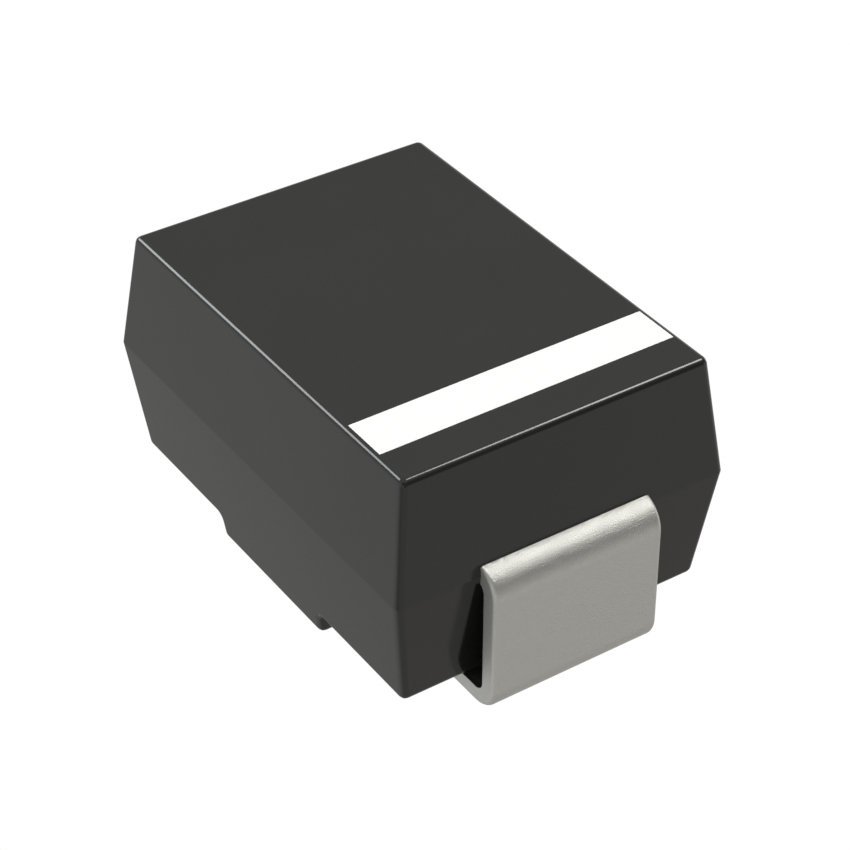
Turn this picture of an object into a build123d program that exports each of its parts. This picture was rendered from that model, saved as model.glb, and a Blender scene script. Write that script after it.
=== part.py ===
"""Surface mount rectifier diode: a moulded case, two formed leads, a soldered chip and a cathode band.

Millimetres. X runs along the case towards the banded cathode end, Y across it and Z up.
The origin is on the seating plane, under the middle of the case.
"""
from build123d import *
import os
from math import radians, tan

# Moulded case, at its largest on the parting line
case_length = 4.026
case_width = 2.92
upper_height = 1.008          # parting line to the top
lower_height = 1.007          # parting line to the underside of the two ends
pedestal_drop = 0.201         # how far the middle stands below the ends
pedestal_length = 1.50        # at the root of the step
mould_draft = 7.0             # degrees, on every side of both halves
case_edge_radius = 0.060
pedestal_root_radius = 0.045

# Leads, stamped from one strip and formed around the case
lead_width = 1.50
lead_thickness = 0.150
lead_edge_radius = 0.042      # along the outer face, from the lock hole to the tip; the rest are sharp
lead_bend_radius = 0.090      # inside of every bend
lead_rise = 0.010             # middle of the strip above the parting line
lead_gap = 0.034              # parting edge to the inner face of the upright
foot_length = 1.14            # outer face of the upright to the tip of the foot
seat_clearance = 0.022        # pedestal above the feet's undersides
joggle_slope = 45.0           # degrees, from the exit level to the pads
lock_hole_radius = 0.22       # epoxy flows through it and locks the lead
lock_hole_inset = 0.48        # parting edge to the hole's centre
pad_shoulder = 0.05           # strip beyond its square pad on each side

# Chip and solder between the two pads
pad_margin = 0.05             # pad beyond the chip on each side
die_thickness = 0.26
die_bevel = 0.05              # around the glass-passivated upper face
solder_thickness = 0.04
dimple_radius = 0.38          # flat face of the anode pad's coined dimple
dimple_height = 0.10
dimple_flare = 0.10           # how much wider the dimple is where it meets the pad
solder_ring = 0.06            # anode solder beyond the dimple's face

# Cathode band, let in flush across the flat of the top
band_width = 0.406
band_inset = 0.300            # end of the flat to the band
band_thickness = 0.015

# Levels and places that follow from the sizes
draft_run = tan(radians(mould_draft))
parting_z = seat_clearance + pedestal_drop + lower_height
top_z = parting_z + upper_height
ends_z = parting_z - lower_height
exit_level = parting_z + lead_rise
joggle = (die_thickness + 2 * solder_thickness + dimple_height + lead_thickness) / 2
die_bottom = exit_level - joggle + lead_thickness / 2 + solder_thickness
die_top = die_bottom + die_thickness
dimple_face = die_top + solder_thickness
pad_size = lead_width - 2 * pad_shoulder
die_size = pad_size - 2 * pad_margin
flat_margin = upper_height * draft_run + case_edge_radius * tan(radians((90 - mould_draft) / 2))


def drafted_half(height, direction):
    """Half of the case from the parting line up (1) or down (-1), narrowing by the mould's draft."""
    block = Pos(0, 0, parting_z + direction * height / 2) * Box(case_length, case_width, height)
    sides = block.faces().filter_by(Axis.Z, reverse=True)
    return draft(sides, neutral_plane=Plane.XY.offset(parting_z), angle=direction * mould_draft)


def upper_half():
    """The upper half: a sharp parting edge, and every other edge rounded."""
    half = drafted_half(upper_height, 1)
    rounded = half.edges().filter_by(lambda edge: edge.center().Z > parting_z + case_edge_radius)
    return fillet(rounded, case_edge_radius)


def end_relief():
    """The space under the cathode end, out from the pedestal's end wall and its rounded root."""
    root_x = pedestal_length / 2
    depth = 2 * pedestal_drop
    step = FilletPolyline(
        (case_length, ends_z),
        (root_x, ends_z),
        (root_x - depth * draft_run, ends_z - depth),
        radius=pedestal_root_radius,
    )
    rest = Polyline(step @ 1, (case_length, ends_z - depth), step @ 0)
    return extrude(Plane.XZ * make_face(step + rest), amount=case_width, both=True)


def lower_half():
    """The lower half: a full-width pedestal between raised ends, rounded but for its parting edge."""
    relief = end_relief()
    half = drafted_half(lower_height + pedestal_drop, -1) - relief - mirror(relief, about=Plane.YZ)

    def is_rounded(edge):
        middle = edge.center()
        across = abs((edge % 0.5).Y) > 0.99
        off_root = abs(abs(middle.X) - pedestal_length / 2) > pedestal_root_radius
        on_pedestal = middle.Z < ends_z - pedestal_drop / 2 - pedestal_root_radius / 2
        return middle.Z < parting_z - case_edge_radius and (not across or off_root or on_pedestal)

    return fillet(half.edges().filter_by(is_rounded), case_edge_radius)


def strip(section, bend, *points):
    """The section, upper side up at first, swept along a strip's middle, bent at each inner point."""
    path = FilletPolyline(*points, radius=bend)
    across = Vector(0, 0, 1).cross(path % 0)
    start = Plane(origin=path @ 0, x_dir=across, z_dir=path % 0)
    return sweep(start * section, path=path)


def formed_lead(side, pad_level):
    """A lead from its pad, out at the parting line, down the end of the case and in under it."""
    upright_x = case_length / 2 + lead_gap + lead_thickness / 2
    tip_x = upright_x + lead_thickness / 2 - foot_length
    hole_x = case_length / 2 - lock_hole_inset
    bend = lead_bend_radius + lead_thickness / 2
    square = Rectangle(lead_width, lead_thickness)
    stamped = fillet(square.vertices().sort_by(Axis.Y)[-2:], lead_edge_radius)
    joggle_start = pad_size / 2 + bend * tan(radians(joggle_slope / 2))
    joggle_end = joggle_start + joggle / tan(radians(joggle_slope))
    inner = strip(
        square,
        bend,
        (-side * pad_size / 2, 0, pad_level),
        (side * joggle_start, 0, pad_level),
        (side * joggle_end, 0, exit_level),
        (side * hole_x, 0, exit_level),
    )
    outer = strip(
        stamped,
        bend,
        (side * hole_x, 0, exit_level),
        (side * upright_x, 0, exit_level),
        (side * upright_x, 0, lead_thickness / 2),
        (side * tip_x, 0, lead_thickness / 2),
    )
    lock_hole = Cylinder(lock_hole_radius, 2 * lead_thickness)
    lead = inner + outer - Pos(side * hole_x, 0, exit_level) * lock_hole
    for edge in (-1, 1):
        shoulder = Box(pad_size, pad_shoulder, 2 * lead_thickness)
        lead -= Pos(0, edge * (pad_size + pad_shoulder) / 2, pad_level) * shoulder
    return lead


def dimple(face_z):
    """The tapered form with its flat face at this level, for the boss and the punch mark above it."""
    taper = Cone(dimple_radius, dimple_radius + dimple_flare, dimple_height)
    return Pos(0, 0, face_z + dimple_height / 2) * taper


cathode_lead = formed_lead(1, exit_level - joggle)
anode_lead = formed_lead(-1, exit_level + joggle)
anode_lead = anode_lead + dimple(dimple_face) - dimple(dimple_face + lead_thickness)

silicon_die = Pos(0, 0, (die_bottom + die_top) / 2) * Box(die_size, die_size, die_thickness)
silicon_die = chamfer(silicon_die.faces().sort_by(Axis.Z)[-1].edges(), die_bevel)
cathode_solder = Pos(0, 0, die_bottom - solder_thickness / 2) * Box(die_size, die_size, solder_thickness)
solder_disc = Cylinder(dimple_radius + solder_ring, solder_thickness)
anode_solder = Pos(0, 0, die_top + solder_thickness / 2) * solder_disc

band_length = case_width - 2 * flat_margin
band_x = case_length / 2 - flat_margin - band_inset - band_width / 2
cathode_band = Pos(band_x, 0, top_z - band_thickness / 2) * Box(band_width, band_length, band_thickness)

inserts = [cathode_lead, anode_lead, silicon_die, cathode_solder, anode_solder, cathode_band]
case = upper_half() + lower_half() - inserts

nodes = {
    "case": case,
    "cathode_lead": cathode_lead,
    "anode_lead": anode_lead,
    "silicon_die": silicon_die,
    "cathode_solder": cathode_solder,
    "anode_solder": anode_solder,
    "cathode_band": cathode_band,
}
os.makedirs("parts", exist_ok=True)
for name, shape in nodes.items():
    export_step(shape, f"parts/{name}.step")
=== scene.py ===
"""Surface mount rectifier diode, dressed for rendering.

The pieces are built in millimetres, in the frame of the model, and are scaled to metres when finished.
"""

from math import acos, cos, pi, radians, sin, tan

import bmesh
import bpy
from mathutils import Matrix, Vector


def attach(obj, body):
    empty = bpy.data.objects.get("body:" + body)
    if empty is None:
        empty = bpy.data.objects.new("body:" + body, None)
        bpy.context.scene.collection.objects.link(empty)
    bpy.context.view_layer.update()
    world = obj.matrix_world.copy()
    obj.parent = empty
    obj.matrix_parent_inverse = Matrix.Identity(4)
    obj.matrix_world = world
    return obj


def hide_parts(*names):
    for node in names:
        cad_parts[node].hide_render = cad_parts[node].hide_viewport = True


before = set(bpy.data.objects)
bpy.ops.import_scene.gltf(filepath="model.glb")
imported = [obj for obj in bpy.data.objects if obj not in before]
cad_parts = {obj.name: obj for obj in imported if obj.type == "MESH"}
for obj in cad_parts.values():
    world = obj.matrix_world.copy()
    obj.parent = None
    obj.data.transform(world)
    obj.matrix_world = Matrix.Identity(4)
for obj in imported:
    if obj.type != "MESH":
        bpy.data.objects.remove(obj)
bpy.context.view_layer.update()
scene = bpy.context.scene

millimetre = 0.001
tolerance = 0.0001            # millimetres, for finding faces by their place

# Moulded case, in millimetres, at its largest on the parting line
case_length = 4.026
case_width = 2.92
upper_height = 1.008          # parting line to the top
lower_height = 1.007          # parting line to the underside of the two ends
pedestal_drop = 0.201         # how far the middle stands below the ends
pedestal_length = 1.50        # at the root of the step
mould_draft = 7               # degrees, on every side of both halves
case_edge_radius = 0.060
pedestal_root_radius = 0.045

# Leads, formed from one strip
lead_width = 1.50
lead_thickness = 0.150
lead_edge_radius = 0.042      # along the outer face of the upright and the foot
inner_edge_radius = 0.005     # along the inner face
edge_growth = 0.7             # power of the first bend's sine that the outer edges' rounding follows
lead_bend_radius = 0.090      # inside of every bend
lead_rise = 0.010             # middle of the strip above the parting line
lead_gap = 0.034              # parting edge to the inner face of the upright
lead_embed = 0.30             # how far the strip goes on inside the case
foot_length = 1.14            # outer face of the upright to the tip of the foot
seat_clearance = 0.022        # pedestal above the feet's undersides

# Band, in its pocket across the flat of the top
band_width = 0.406
band_inset = 0.300            # end of the flat to the band
band_thickness = 0.015
band_stand = 0.001            # how far the ink stands above the top
band_rim_radius = 0.002

# Facets in each rounding
root_facets = 10
case_edge_facets = 8
lead_bend_facets = 24
lead_edge_facets = 6
band_rim_facets = 2

# Levels and places that follow from the sizes
draft_run = tan(radians(mould_draft))
parting_z = seat_clearance + pedestal_drop + lower_height
ends_z = parting_z - lower_height
top_z = parting_z + upper_height
flat_margin = upper_height * draft_run + case_edge_radius * tan(radians((90 - mould_draft) / 2))
band_end = case_length / 2 - flat_margin - band_inset
band_start = band_end - band_width


# Making pieces
def new_object(name, vertices, faces):
    """A mesh object of these points and faces."""
    mesh = bpy.data.meshes.new(name)
    mesh.from_pydata(vertices, [], faces)
    mesh.update()
    obj = bpy.data.objects.new(name, mesh)
    scene.collection.objects.link(obj)
    return obj


def turn_faces_outward(obj):
    """Turns every face of a closed mesh to the outside."""
    mesh = bmesh.new()
    mesh.from_mesh(obj.data)
    bmesh.ops.recalc_face_normals(mesh, faces=mesh.faces)
    mesh.to_mesh(obj.data)
    mesh.free()


def apply_modifiers(obj):
    """Bakes the object's modifiers into its mesh."""
    graph = bpy.context.evaluated_depsgraph_get()
    mesh = bpy.data.meshes.new_from_object(obj.evaluated_get(graph))
    obj.modifiers.clear()
    obj.data = mesh


def finish_piece(obj, node, material, crease=25):
    """Smooth shading with creases (in degrees), then metres, a material and a seat in the frame."""
    obj.data.shade_smooth()
    obj.data.set_sharp_from_angle(angle=radians(crease))
    weighted = obj.modifiers.new("normals", "WEIGHTED_NORMAL")
    weighted.weight = 100
    weighted.keep_sharp = True
    apply_modifiers(obj)
    obj.data.name = obj.name
    obj.data.transform(Matrix.Scale(millimetre, 4))
    obj.data.materials.clear()
    obj.data.materials.append(material)
    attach(obj, "root")
    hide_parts(node)


# Parts of a material
noise_low = 0.3               # nearly all noise lies between these two
noise_high = 0.7


def new_material(name, **inputs):
    """A material and its shader, with these uniform values on the shader's own sockets."""
    material = bpy.data.materials.new(name)
    material.use_nodes = True
    shader = material.node_tree.nodes["Principled BSDF"]
    for socket, value in inputs.items():
        shader.inputs[socket].default_value = value
    return material, shader


def noise(tree, per_metre, detail):
    """Noise in the piece's own coordinates, with about this many grains to a metre."""
    texture = tree.nodes.new("ShaderNodeTexNoise")
    texture.inputs["Scale"].default_value = per_metre
    texture.inputs["Detail"].default_value = detail
    texture.inputs["Roughness"].default_value = 0.55
    coordinates = tree.nodes.new("ShaderNodeTexCoord")
    tree.links.new(coordinates.outputs["Object"], texture.inputs["Vector"])
    return texture.outputs["Fac"]


def remap(tree, source, low, high, from_low=noise_low, from_high=noise_high):
    """Spreads a source, which is noise unless its range is given, from low to high."""
    spread = tree.nodes.new("ShaderNodeMapRange")
    spread.inputs["From Min"].default_value = from_low
    spread.inputs["From Max"].default_value = from_high
    spread.inputs["To Min"].default_value = low
    spread.inputs["To Max"].default_value = high
    tree.links.new(source, spread.inputs["Value"])
    return spread.outputs["Result"]


def vary_colour(shader, per_metre, detail, low, high):
    """Mottles the base colour between two colours."""
    tree = shader.id_data
    ramp = tree.nodes.new("ShaderNodeValToRGB")
    darkest, lightest = ramp.color_ramp.elements
    darkest.position = noise_low
    darkest.color = (*low, 1)
    lightest.position = noise_high
    lightest.color = (*high, 1)
    tree.links.new(noise(tree, per_metre, detail), ramp.inputs["Fac"])
    tree.links.new(ramp.outputs["Color"], shader.inputs["Base Color"])


def vary_roughness(shader, per_metre, detail, low, high):
    """Varies the roughness between two values."""
    tree = shader.id_data
    uneven = remap(tree, noise(tree, per_metre, detail), low, high)
    tree.links.new(uneven, shader.inputs["Roughness"])


def add_grain(shader, per_metre, detail, depth, strength):
    """Bump from noise, with its depth in metres."""
    tree = shader.id_data
    bump = tree.nodes.new("ShaderNodeBump")
    bump.inputs["Strength"].default_value = strength
    bump.inputs["Distance"].default_value = depth
    tree.links.new(noise(tree, per_metre, detail), bump.inputs["Height"])
    tree.links.new(bump.outputs["Normal"], shader.inputs["Normal"])


# Materials
def make_epoxy():
    """Glossy moulded epoxy, barely mottled."""
    material, shader = new_material("epoxy", IOR=1.5)
    vary_colour(
        shader, per_metre=900, detail=5, low=(0.0115, 0.0115, 0.0113), high=(0.0135, 0.0135, 0.0133)
    )
    vary_roughness(shader, per_metre=2500, detail=6, low=0.10, high=0.16)
    add_grain(shader, per_metre=40000, detail=3, depth=0.0000004, strength=0.3)
    return material


def make_tin_plate():
    """Matt tin plate with a sandy grain, duller on the sides of the strip, where it was sheared."""
    material, shader = new_material("tin_plate", Metallic=1.0)
    vary_colour(
        shader, per_metre=110000, detail=2, low=(0.588, 0.580, 0.570), high=(0.616, 0.608, 0.598)
    )
    add_grain(shader, per_metre=100000, detail=2, depth=0.0000053, strength=1.0)

    tree = shader.id_data
    facing = tree.nodes.new("ShaderNodeSeparateXYZ")
    tree.links.new(tree.nodes.new("ShaderNodeTexCoord").outputs["Normal"], facing.inputs["Vector"])
    sideways = tree.nodes.new("ShaderNodeMath")
    sideways.operation = "ABSOLUTE"
    tree.links.new(facing.outputs["Y"], sideways.inputs[0])
    sheared = remap(tree, sideways.outputs["Value"], low=0.0, high=1.0, from_low=0.5, from_high=1.0)
    rolled_roughness = remap(tree, noise(tree, per_metre=60000, detail=3), low=0.28, high=0.32)
    sheared_roughness = 0.56
    roughness = tree.nodes.new("ShaderNodeMix")
    tree.links.new(sheared, roughness.inputs["Factor"])
    tree.links.new(rolled_roughness, roughness.inputs["A"])
    roughness.inputs["B"].default_value = sheared_roughness
    tree.links.new(roughness.outputs["Result"], shader.inputs["Roughness"])
    return material


def make_white_ink():
    """Flat white ink with a faint screen grain."""
    material, shader = new_material("white_ink", Roughness=0.45)
    vary_colour(shader, per_metre=20000, detail=4, low=(0.93, 0.93, 0.955), high=(0.96, 0.96, 0.985))
    add_grain(shader, per_metre=60000, detail=3, depth=0.000002, strength=0.2)
    return material


def make_solder():
    """Reflowed solder."""
    material, shader = new_material("solder", Metallic=1.0)
    vary_colour(shader, per_metre=12000, detail=5, low=(0.52, 0.52, 0.53), high=(0.62, 0.62, 0.61))
    vary_roughness(shader, per_metre=25000, detail=4, low=0.25, high=0.45)
    add_grain(shader, per_metre=15000, detail=3, depth=0.000003, strength=0.5)
    return material


def make_silicon():
    """Polished silicon."""
    material, shader = new_material("silicon", Metallic=0.7)
    vary_colour(shader, per_metre=3000, detail=3, low=(0.20, 0.21, 0.24), high=(0.24, 0.25, 0.28))
    vary_roughness(shader, per_metre=9000, detail=4, low=0.08, high=0.18)
    return material


# Case
def half_span(size, z):
    """Half of the case's length or width at this level."""
    return size / 2 - abs(z - parting_z) * draft_run


def underside_profile():
    """Points of the underside from the middle of the pedestal out to the end, with the rounded root."""
    root_x = pedestal_length / 2
    turn = radians(90 - mould_draft)
    centre_x = root_x + pedestal_root_radius * tan(turn / 2)
    centre_z = ends_z - pedestal_root_radius
    points = [(root_x - pedestal_drop * draft_run, ends_z - pedestal_drop)]
    for i in range(root_facets + 1):
        angle = pi / 2 + turn * (1 - i / root_facets)
        points.append((
            centre_x + pedestal_root_radius * cos(angle),
            centre_z + pedestal_root_radius * sin(angle),
        ))
    points.append((half_span(case_length, ends_z), ends_z))
    return points


def sharp_case():
    """The case before its outer edges are rounded."""
    right = underside_profile()
    profile = [(-x, z) for x, z in reversed(right)] + right
    vertices = []

    def vertex(x, y, z):
        vertices.append((x, y, z))
        return len(vertices) - 1

    def ring(z):
        x = half_span(case_length, z)
        y = half_span(case_width, z)
        return [vertex(-x, -y, z), vertex(x, -y, z), vertex(x, y, z), vertex(-x, y, z)]

    top = ring(top_z)
    middle = ring(parting_z)
    near = [vertex(x, -half_span(case_width, z), z) for x, z in profile]
    far = [vertex(x, half_span(case_width, z), z) for x, z in profile]
    faces = [top]
    for i in range(4):
        j = (i + 1) % 4
        faces.append((middle[i], middle[j], top[j], top[i]))
    for i in range(len(profile) - 1):
        faces.append((near[i], far[i], far[i + 1], near[i + 1]))
    faces.append((middle[0], *near, middle[1]))
    faces.append((middle[2], *reversed(far), middle[3]))
    faces.append((middle[1], near[-1], far[-1], middle[2]))
    faces.append((middle[3], far[0], near[0], middle[0]))
    obj = new_object("moulded_case", vertices, faces)
    turn_faces_outward(obj)
    return obj


def round_case(obj):
    """Rounds the case's sharp edges with one radius; the parting line and the step's root stay.

    A bevel of one radius is wider where the faces turn more. It is widest on the upright edges, where
    two drafted sides meet, and the weights give the others their share of that.
    """
    upright_turn = acos(sin(radians(mould_draft)) ** 2)
    widest = case_edge_radius * tan(upright_turn / 2)
    least_turn = radians(60)
    mesh = bmesh.new()
    mesh.from_mesh(obj.data)
    weight = mesh.edges.layers.float.new("bevel_weight_edge")
    for edge in mesh.edges:
        turn = edge.calc_face_angle()
        if turn > least_turn:
            edge[weight] = case_edge_radius * tan(turn / 2) / widest
    mesh.to_mesh(obj.data)
    mesh.free()
    rounding = obj.modifiers.new("rounding", "BEVEL")
    rounding.limit_method = "WEIGHT"
    rounding.offset_type = "OFFSET"
    rounding.width = widest
    rounding.segments = case_edge_facets
    rounding.use_clamp_overlap = False
    rounding.miter_outer = "MITER_SHARP"
    apply_modifiers(obj)


def flat_of_top(mesh):
    """The faces that make the flat of the top."""
    return [face for face in mesh.faces if face.calc_center_median().z > top_z - tolerance]


def sink_band_pocket(obj):
    """Lowers the strip of the top that carries the band by the band's thickness."""
    mesh = bmesh.new()
    mesh.from_mesh(obj.data)
    for x in (band_start, band_end):
        flat = flat_of_top(mesh)
        parts = dict.fromkeys(part for face in flat for part in (*face.verts, *face.edges, face))
        bmesh.ops.bisect_plane(mesh, geom=list(parts), plane_co=(x, 0, 0), plane_no=(1, 0, 0))
    pocket = [face for face in flat_of_top(mesh) if band_start < face.calc_center_median().x < band_end]
    sunk = bmesh.ops.extrude_discrete_faces(mesh, faces=pocket)["faces"]
    corners = [corner for face in sunk for corner in face.verts]
    bmesh.ops.translate(mesh, vec=(0, 0, -band_thickness), verts=corners)
    mesh.to_mesh(obj.data)
    mesh.free()


def build_case():
    """The moulded case, rounded and with the pocket of the band."""
    obj = sharp_case()
    round_case(obj)
    sink_band_pocket(obj)
    return obj


# Leads
def bent_path(points, radius):
    """The polyline with an arc at each inner corner, as (point, direction) pairs in the XZ plane."""
    corners = [Vector(point) for point in points]
    path = [(corners[0], (corners[1] - corners[0]).normalized())]
    for before, corner, after in zip(corners, corners[1:], corners[2:]):
        into = (corner - before).normalized()
        out = (after - corner).normalized()
        sense = 1 if into.x * out.y - into.y * out.x > 0 else -1
        turn = into.angle(out)
        start = corner - into * radius * tan(turn / 2)
        centre = start + Vector((-into.y, into.x)) * sense * radius
        for i in range(lead_bend_facets + 1):
            spin = Matrix.Rotation(sense * turn * i / lead_bend_facets, 2)
            path.append((centre + spin @ (start - centre), spin @ into))
    path.append((corners[-1], (corners[-1] - corners[-2]).normalized()))
    return path


def lead_section(outer_edge_radius):
    """Points (across, outward) around the strip, its outer edges rounded and its inner ones broken."""
    outline = []
    for corner, (across, outward) in enumerate(((1, 1), (-1, 1), (-1, -1), (1, -1))):
        radius = outer_edge_radius if outward > 0 else inner_edge_radius
        for i in range(lead_edge_facets + 1):
            angle = pi / 2 * (corner + i / lead_edge_facets)
            outline.append((
                across * (lead_width / 2 - radius) + radius * cos(angle),
                outward * (lead_thickness / 2 - radius) + radius * sin(angle),
            ))
    return outline


def build_lead(name, side):
    """The formed strip at one end (1 or -1), from inside the case to the tip of the foot."""
    middle = lead_thickness / 2
    upright_x = case_length / 2 + lead_gap + middle
    exit_level = parting_z + lead_rise
    points = [
        (case_length / 2 - lead_embed, exit_level),
        (upright_x, exit_level),
        (upright_x, middle),
        (upright_x + middle - foot_length, middle),
    ]
    sections = []
    for centre, along in bent_path(points, lead_bend_radius + middle):
        upward = Vector((-along.y, along.x))
        turned = min(along.angle(Vector((1, 0))), pi / 2)
        edge_radius = max(inner_edge_radius, lead_edge_radius * sin(turned) ** edge_growth)
        section = []
        for across, outward in lead_section(edge_radius):
            place = centre + upward * outward
            section.append((side * place.x, across, place.y))
        sections.append(section)

    vertices = [vertex for section in sections for vertex in section]
    count = len(sections[0])
    faces = []
    for start in range(0, len(vertices) - count, count):
        for i in range(count):
            j = (i + 1) % count
            faces.append((start + i, start + j, start + count + j, start + count + i))
    faces.append(tuple(range(count)))
    faces.append(tuple(range(len(vertices) - count, len(vertices))))
    obj = new_object(name, vertices, faces)
    turn_faces_outward(obj)
    return obj


# Band
def build_band():
    """The printed band, a thin film with softened rims."""
    y = case_width / 2 - flat_margin
    corners = ((band_start, -y), (band_end, -y), (band_end, y), (band_start, y))
    levels = (top_z - band_thickness, top_z + band_stand)
    vertices = [(*corner, z) for z in levels for corner in corners]
    faces = [(3, 2, 1, 0), (4, 5, 6, 7), (0, 1, 5, 4), (1, 2, 6, 5), (2, 3, 7, 6), (3, 0, 4, 7)]
    obj = new_object("printed_band", vertices, faces)
    rounding = obj.modifiers.new("rounding", "BEVEL")
    rounding.width = band_rim_radius
    rounding.segments = band_rim_facets
    apply_modifiers(obj)
    return obj


epoxy = make_epoxy()
tin_plate = make_tin_plate()
white_ink = make_white_ink()
solder = make_solder()
silicon = make_silicon()

finish_piece(build_case(), "case", epoxy, crease=12)
finish_piece(build_lead("lead_by_band", 1), "cathode_lead", tin_plate)
finish_piece(build_lead("lead_far", -1), "anode_lead", tin_plate)
finish_piece(build_band(), "cathode_band", white_ink)

# The pieces inside the case keep the meshes of the model
for node, material in (("silicon_die", silicon), ("cathode_solder", solder), ("anode_solder", solder)):
    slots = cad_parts[node].data.materials
    slots.clear()
    slots.append(material)

# Studio, in metres
backdrop_white = 1.02         # just past white, so that it has no grey
warmth = 0.94                 # blue of the studio's own light, as a share of its red
floor_reach = 0.2
floor_drop = 0.00002          # below the feet
lamp_distance = 0.10

# Light of the studio by height: from 0 straight below to 1 straight above, and its brightness
studio_levels = (
    (0.0, 0.46),
    (0.10, 0.48),
    (0.18, 0.54),
    (0.27, 0.61),
    (0.45, 0.66),
    (0.62, 0.66),
    (0.735, 0.36),
    (0.795, 0.565),
    (0.85, 0.66),
    (1.0, 0.75),
)

# Soft patches over that light: the direction of the middle, the degrees from there at which the
# patch is still full and at which it ends, and its colour
studio_patches = (
    ((-0.30, -0.92, -0.05), 15, 45, (0.95, 0.98, 0.99)),
    ((-0.65, -0.28, -0.70), 8, 24, (0.40, 0.40, 0.38)),
    ((-0.15, -0.60, -0.79), 8, 30, (0.66, 0.66, 0.63)),
    ((0.97, -0.10, 0.30), 12, 32, (0.25, 0.25, 0.23)),
    ((0.42, 0.82, 0.38), 12, 26, (0.22, 0.22, 0.205)),
    ((-0.12, 0.99, 0.00), 10, 24, (1.9, 1.9, 1.85)),
    ((0.80, 0.49, 0.34), 15, 30, (0.16, 0.16, 0.15)),
    ((0.45, 0.41, -0.80), 6, 25, (0.455, 0.445, 0.415)),
    ((0.62, -0.46, 0.63), 12, 26, (0.10, 0.10, 0.095)),
    ((0.40, -0.66, -0.64), 8, 30, (0.45, 0.45, 0.42)),
    ((-0.62, -0.58, -0.53), 4, 13, (0.65, 0.65, 0.635)),
)


def make_paper():
    """Plain white for the floor, clear from below."""
    paper = bpy.data.materials.new("paper")
    paper.use_nodes = True
    tree = paper.node_tree
    tree.nodes.clear()
    glow = tree.nodes.new("ShaderNodeEmission")
    glow.inputs["Strength"].default_value = backdrop_white
    clear = tree.nodes.new("ShaderNodeBsdfTransparent")
    facing = tree.nodes.new("ShaderNodeNewGeometry")
    choice = tree.nodes.new("ShaderNodeMixShader")
    output = tree.nodes.new("ShaderNodeOutputMaterial")
    tree.links.new(facing.outputs["Backfacing"], choice.inputs["Fac"])
    tree.links.new(glow.outputs["Emission"], choice.inputs[1])
    tree.links.new(clear.outputs["BSDF"], choice.inputs[2])
    tree.links.new(choice.outputs["Shader"], output.inputs["Surface"])
    return paper


def build_floor():
    """A plain floor that lights nothing, takes no shadow and shows in no reflection."""
    corners = [(-1, -1), (1, -1), (1, 1), (-1, 1)]
    vertices = [(x * floor_reach, y * floor_reach, -floor_drop) for x, y in corners]
    floor = new_object("floor", vertices, [(0, 1, 2, 3)])
    floor.data.materials.append(make_paper())
    floor.visible_diffuse = False
    floor.visible_glossy = False
    floor.visible_shadow = False
    return floor


def light_by_height(tree, direction):
    """The studio's own light, by the height that a direction points to."""
    split = tree.nodes.new("ShaderNodeSeparateXYZ")
    tree.links.new(direction, split.inputs["Vector"])
    height = remap(tree, split.outputs["Z"], low=0.0, high=1.0, from_low=-1.0, from_high=1.0)
    ramp = tree.nodes.new("ShaderNodeValToRGB")
    tree.links.new(height, ramp.inputs["Fac"])
    stops = ramp.color_ramp.elements
    for level in studio_levels[1:-1]:
        stops.new(level[0])
    for stop, (position, brightness) in zip(stops, studio_levels):
        stop.position = position
        stop.color = (brightness, brightness, brightness * warmth, 1)
    return ramp.outputs["Color"]


def lay_patch(tree, direction, light, centre, full, end, colour):
    """The light with a patch over it: full up to one angle from its centre, and gone at the other."""
    nearness = tree.nodes.new("ShaderNodeVectorMath")
    nearness.operation = "DOT_PRODUCT"
    nearness.inputs[1].default_value = Vector(centre).normalized()
    tree.links.new(direction, nearness.inputs[0])
    share = tree.nodes.new("ShaderNodeMapRange")
    share.interpolation_type = "SMOOTHSTEP"
    share.inputs["From Min"].default_value = cos(radians(end))
    share.inputs["From Max"].default_value = cos(radians(full))
    tree.links.new(nearness.outputs["Value"], share.inputs["Value"])
    patch = tree.nodes.new("ShaderNodeMix")
    patch.data_type = "RGBA"
    patch.inputs["B"].default_value = (*colour, 1)
    tree.links.new(share.outputs["Result"], patch.inputs["Factor"])
    tree.links.new(light, patch.inputs["A"])
    return patch.outputs["Result"]


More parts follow.
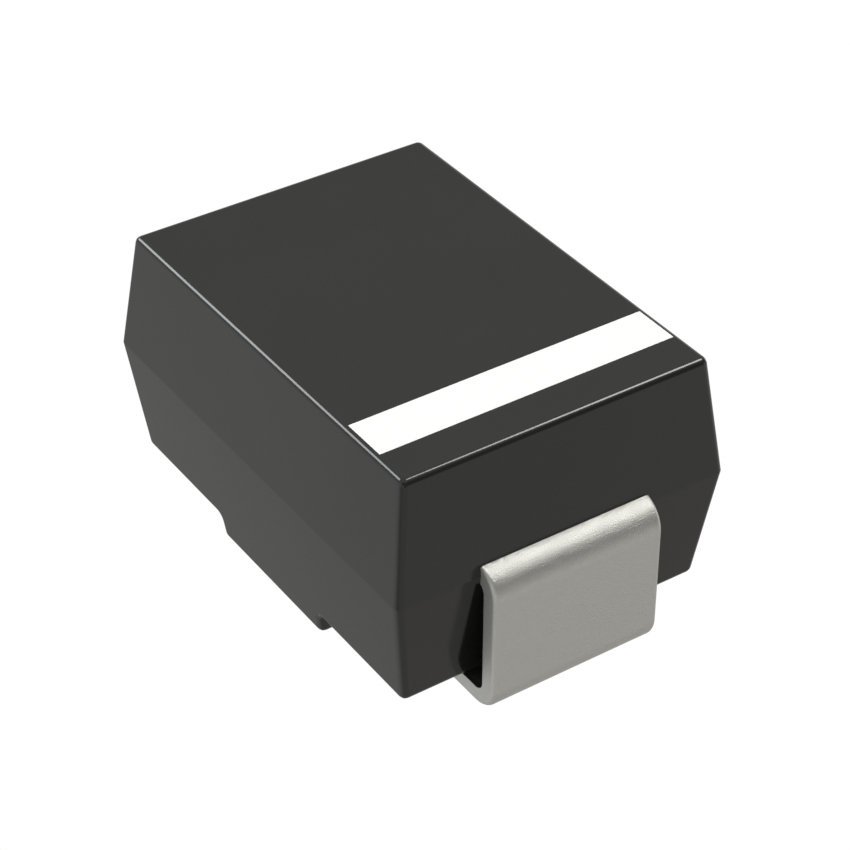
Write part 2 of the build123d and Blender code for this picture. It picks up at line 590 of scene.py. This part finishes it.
def make_studio():
    """The world: the studio lights the part, and the camera sees plain white behind it."""
    world = bpy.data.worlds.new("studio")
    world.use_nodes = True
    tree = world.node_tree
    direction = tree.nodes.new("ShaderNodeTexCoord").outputs["Generated"]
    camera_ray = tree.nodes.new("ShaderNodeLightPath").outputs["Is Camera Ray"]
    light = light_by_height(tree, direction)
    for centre, full, end, colour in studio_patches:
        light = lay_patch(tree, direction, light, centre, full, end, colour)
    seen = tree.nodes.new("ShaderNodeMix")
    seen.data_type = "RGBA"
    seen.inputs["B"].default_value = (backdrop_white, backdrop_white, backdrop_white, 1)
    tree.links.new(camera_ray, seen.inputs["Factor"])
    tree.links.new(light, seen.inputs["A"])
    tree.links.new(seen.outputs["Result"], tree.nodes["Background"].inputs["Color"])
    return world


def add_softbox(name, direction, angle, radiance, colour, mirrored=True):
    """A round light far out along the direction: its width in degrees, and what its face shows."""
    radius = lamp_distance * tan(radians(angle / 2))
    area = pi * radius ** 2
    data = bpy.data.lights.new(name, "AREA")
    data.shape = "DISK"
    data.size = 2 * radius
    data.color = colour
    data.energy = radiance * pi * area
    lamp = bpy.data.objects.new(name, data)
    scene.collection.objects.link(lamp)
    away = Vector(direction).normalized()
    lamp.location = away * lamp_distance
    lamp.rotation_mode = "QUATERNION"
    lamp.rotation_quaternion = away.to_track_quat("Z", "Y")
    lamp.visible_glossy = mirrored


floor = build_floor()

scene.world = make_studio()
add_softbox("cool_key", (-0.72, -0.38, 0.58), angle=20, radiance=7.8, colour=(0.95, 0.975, 1.0))
add_softbox("warm_top", (0.16, 0.525, 0.836), angle=16.5, radiance=11.6, colour=(1.0, 0.995, 0.94))

# This one lights the colour of a surface but not its gloss, so the ink gains by it most
add_softbox(
    "overhead_fill", (0.15, -0.25, 0.96), angle=30, radiance=2.9, colour=(1.0, 1.0, 0.975),
    mirrored=False,
)

# Camera, at the photograph's place in metres and with its lens in millimetres
camera_place = Vector((0.01343177, -0.00887979, 0.01293218))
camera_target = Vector((0.00013986, 0.00002772, 0.00109383))
camera = bpy.data.objects.new("camera", bpy.data.cameras.new("camera"))
scene.collection.objects.link(camera)
scene.camera = camera
camera.location = camera_place
camera.rotation_mode = "QUATERNION"
camera.rotation_quaternion = (camera_place - camera_target).to_track_quat("Z", "Y")
camera.data.sensor_width = 36
camera.data.lens = 108.998
camera.data.clip_start = 0.0005
camera.data.clip_end = 1.0
scene.view_settings.view_transform = "Standard"
